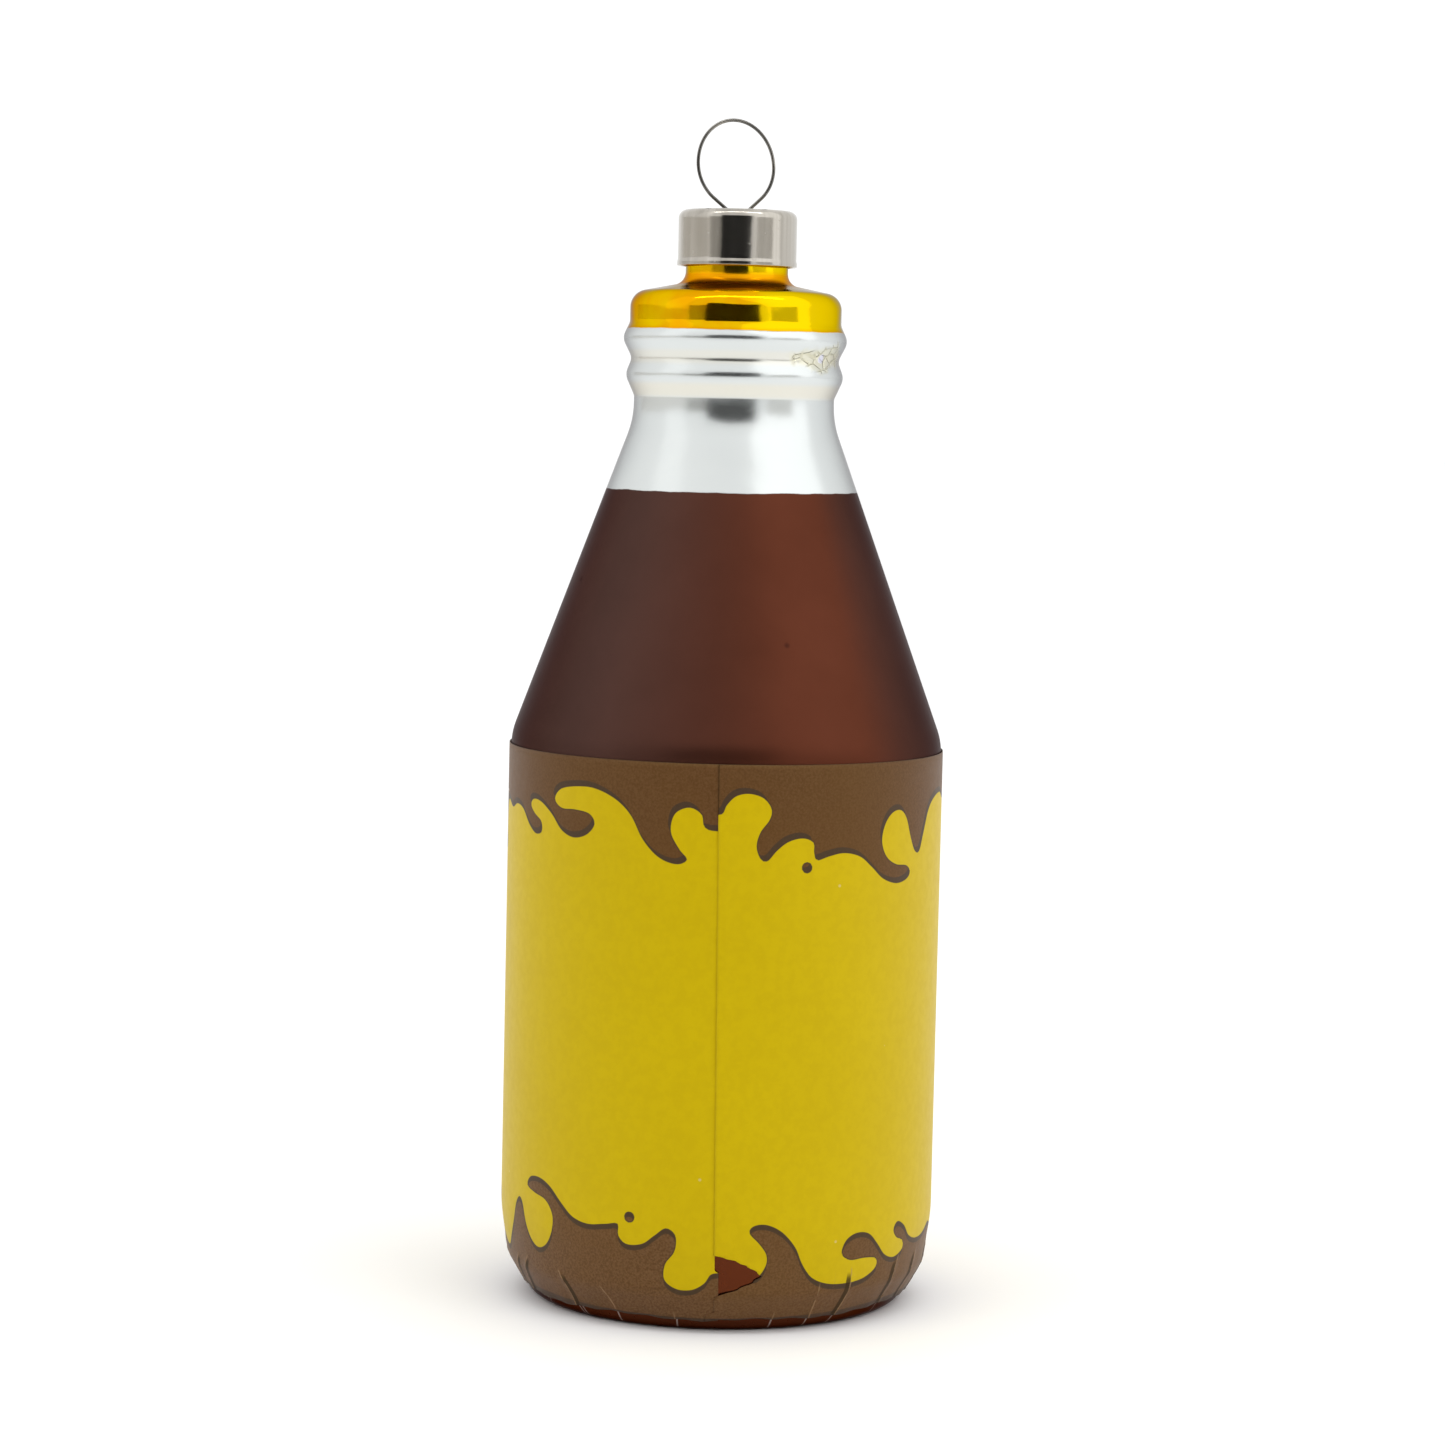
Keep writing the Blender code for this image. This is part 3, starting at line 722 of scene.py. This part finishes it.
def hanger_line():
    """Half ellipses for the loop, then straight legs with rounded bends, mirrored in X."""
    t = np.linspace(0, math.pi / 2, 40)
    upper = np.stack([loop_half * np.sin(t), loop_level + loop_rise * np.cos(t)], axis=1)
    t = np.linspace(0, math.atan(LOOP_LEAN * loop_drop / loop_half), 30)[1:]
    lower = np.stack([loop_half * np.cos(t), loop_level - loop_drop * np.sin(t)], axis=1)
    spread = pike_radius - WALL - 0.4 * MM - WIRE_RADIUS
    legs = rounded([(*lower[-1], 0), (0.6 * MM, waist, 0.35 * MM), (spread, waist - 6.5 * MM, 1.5 * MM),
                    (spread - 0.9 * MM, waist - 11 * MM, 0)], 6)
    half = resampled(np.vstack([upper, lower, legs[1:]]), 0.3 * MM)
    line = np.vstack([half[:0:-1] * (-1, 1), half])
    line[:, 0] -= math.tan(math.radians(LOOP_TILT_DEG)) * np.clip(line[:, 1] - waist, 0, None)
    return line


def wire_grid(line, radius, sides=16):
    """A tube: a circle of the wire's radius carried square to the line, with round ends."""
    along = np.gradient(line, axis=0)
    along /= np.linalg.norm(along, axis=1, keepdims=True)
    end_turn = np.linspace(0, math.pi / 2, 5)
    start = line[:1] - along[:1] * (radius * np.cos(end_turn))[:, None]
    end = line[-1:] + along[-1:] * (radius * np.sin(end_turn))[:, None]
    path = np.vstack([start[:-1], line, end[1:]])
    size = np.concatenate([radius * np.sin(end_turn)[:-1], np.full(len(line), radius),
                           radius * np.cos(end_turn)[1:]])
    extra = len(end_turn) - 1
    side = np.vstack([np.repeat(along[:1], extra, axis=0), along, np.repeat(along[-1:], extra, axis=0)])
    normal = np.stack([-side[:, 1], side[:, 0]], axis=1)
    angle = -np.arange(sides) * 2 * math.pi / sides
    x = path[:, :1] + normal[:, :1] * size[:, None] * np.cos(angle)
    z = path[:, 1:] + normal[:, 1:] * size[:, None] * np.cos(angle)
    y = size[:, None] * np.sin(angle)
    return np.stack([x, y, z], axis=2)


def spring_wire():
    """Drawn wire: dull grey metal with brighter rubs."""
    wire = Finish("spring_wire", Metallic=1.0)
    rub = wire.noise(160.0, 3.0, 0.6)
    wire.feed("Base Color", wire.mix(wire.step(rub, 0.4, 0.7), srgb(96, 94, 90), srgb(150, 146, 138)))
    wire.feed("Roughness", 0.1 + rub * 0.1)
    wire.feed("Normal", wire.bump(rub, 0.1, 0.05 * MM))
    return wire.material


hanger = surface("hanger_loop", wire_grid(hanger_line(), WIRE_RADIUS), round_columns=True,
                 pole_start=True, pole_end=True)
hanger.data.materials.append(spring_wire())
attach(hanger, "hanger")
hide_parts("hanger_wire")

# ---- Floor, lights and camera -------------------------------------------------------
# A pale floor under even white light.  Upright cards, black in front and grey at the sides,
# are seen only in reflections: they make the dark bands in the plate, silver and gold.


def plain(name, colour, roughness):
    """A quiet studio surface with a faint mottle."""
    paint = Finish(name, Roughness=roughness)
    paint.feed("Base Color", paint.mix(paint.noise(3.0), colour, tuple(min(1, c * 1.03) for c in colour)))
    return paint.material


def card(name, azimuth_deg, width_deg, low, high, distance, material):
    """An upright card facing the bottle, seen only in reflections."""
    middle = math.radians(azimuth_deg)
    half = distance * math.tan(math.radians(width_deg / 2))
    out = np.array([math.sin(middle), -math.cos(middle)]) * distance
    side = np.array([math.cos(middle), math.sin(middle)]) * half
    corners = [(*(out - side), low), (*(out + side), low), (*(out + side), high), (*(out - side), high)]
    mesh = bpy.data.meshes.new(name)
    mesh.from_pydata(corners, [], [(0, 1, 2, 3)])
    piece = bpy.data.objects.new(name, mesh)
    bpy.context.scene.collection.objects.link(piece)
    piece.data.materials.append(material)
    piece.visible_camera = False
    piece.visible_shadow = False


FLOOR = 9.0                           # half its width
floor_mesh = bpy.data.meshes.new("floor")
floor_mesh.from_pydata([(-FLOOR, -FLOOR, 0), (FLOOR, -FLOOR, 0), (FLOOR, FLOOR, 0), (-FLOOR, FLOOR, 0)], [],
                       [(0, 1, 2, 3)])
floor = bpy.data.objects.new("floor", floor_mesh)
bpy.context.scene.collection.objects.link(floor)
floor_mesh.materials.append(plain("pale_floor", (0.93, 0.93, 0.93, 1), 0.8))

black = plain("black_card", (0.006, 0.006, 0.006, 1), 0.9)
dim = plain("grey_card", (0.36, 0.35, 0.33, 1), 0.9)
middling = plain("middling_card", (0.6, 0.59, 0.57, 1), 0.9)
pale = plain("pale_card", (0.72, 0.7, 0.67, 1), 0.9)
card("lens_card", -2.5, 58.0, 0.03, 0.40, 0.72, black)
card("left_gap", -43.0, 24.0, 0.03, 0.26, 1.0, dim)
card("left_side", -94.0, 78.0, 0.03, 0.22, 1.0, pale)
card("right_gap", 54.0, 34.0, 0.03, 0.24, 0.9, middling)

world = bpy.data.worlds.new("studio")
world.use_nodes = True
world.node_tree.nodes["Background"].inputs["Color"].default_value = (1.0, 1.0, 1.0, 1.0)
world.node_tree.nodes["Background"].inputs["Strength"].default_value = 1.08
bpy.context.scene.world = world


def soft_box(name, place, target, size, power):
    """A rectangular area light aimed at a point."""
    lamp = bpy.data.lights.new(name, "AREA")
    lamp.shape = "RECTANGLE"
    lamp.size, lamp.size_y = size
    lamp.energy = power
    box = bpy.data.objects.new(name, lamp)
    bpy.context.scene.collection.objects.link(box)
    box.location = place
    away = (Vector(target) - box.location).normalized()
    box.rotation_euler = away.to_track_quat("-Z", "Y").to_euler()


middle_height = 0.06
soft_box("key_right", (0.8, -0.42, 0.7), (0, 0, middle_height), (1.3, 1.5), 2.3)
soft_box("fill_left", (-0.9, -0.3, 0.6), (0, 0, middle_height), (0.5, 1.0), 0.25)
soft_box("strip_above", (0, -0.32, 1.0), (0, 0, middle_height), (1.3, 0.06), 2.2)

CAMERA_DISTANCE = 469.2 * MM
CAMERA_HEIGHT = glass_low[2] + 105.06 * MM
CAMERA_PITCH_DEG = 4.593
CAMERA_ROLL_DEG = 1.28
CAMERA_LEFT = 0.5 * MM
lens = bpy.data.cameras.new("camera")
lens.lens = 100
lens.sensor_width = 36
lens.clip_start = 0.01
camera = bpy.data.objects.new("camera", lens)
bpy.context.scene.collection.objects.link(camera)
camera.matrix_world = (Matrix.Translation((-CAMERA_LEFT, -CAMERA_DISTANCE, CAMERA_HEIGHT))
                       @ Matrix.Rotation(math.radians(90 - CAMERA_PITCH_DEG), 4, "X")
                       @ Matrix.Rotation(math.radians(CAMERA_ROLL_DEG), 4, "Z"))
bpy.context.scene.camera = camera
bpy.context.scene.view_settings.view_transform = "Standard"
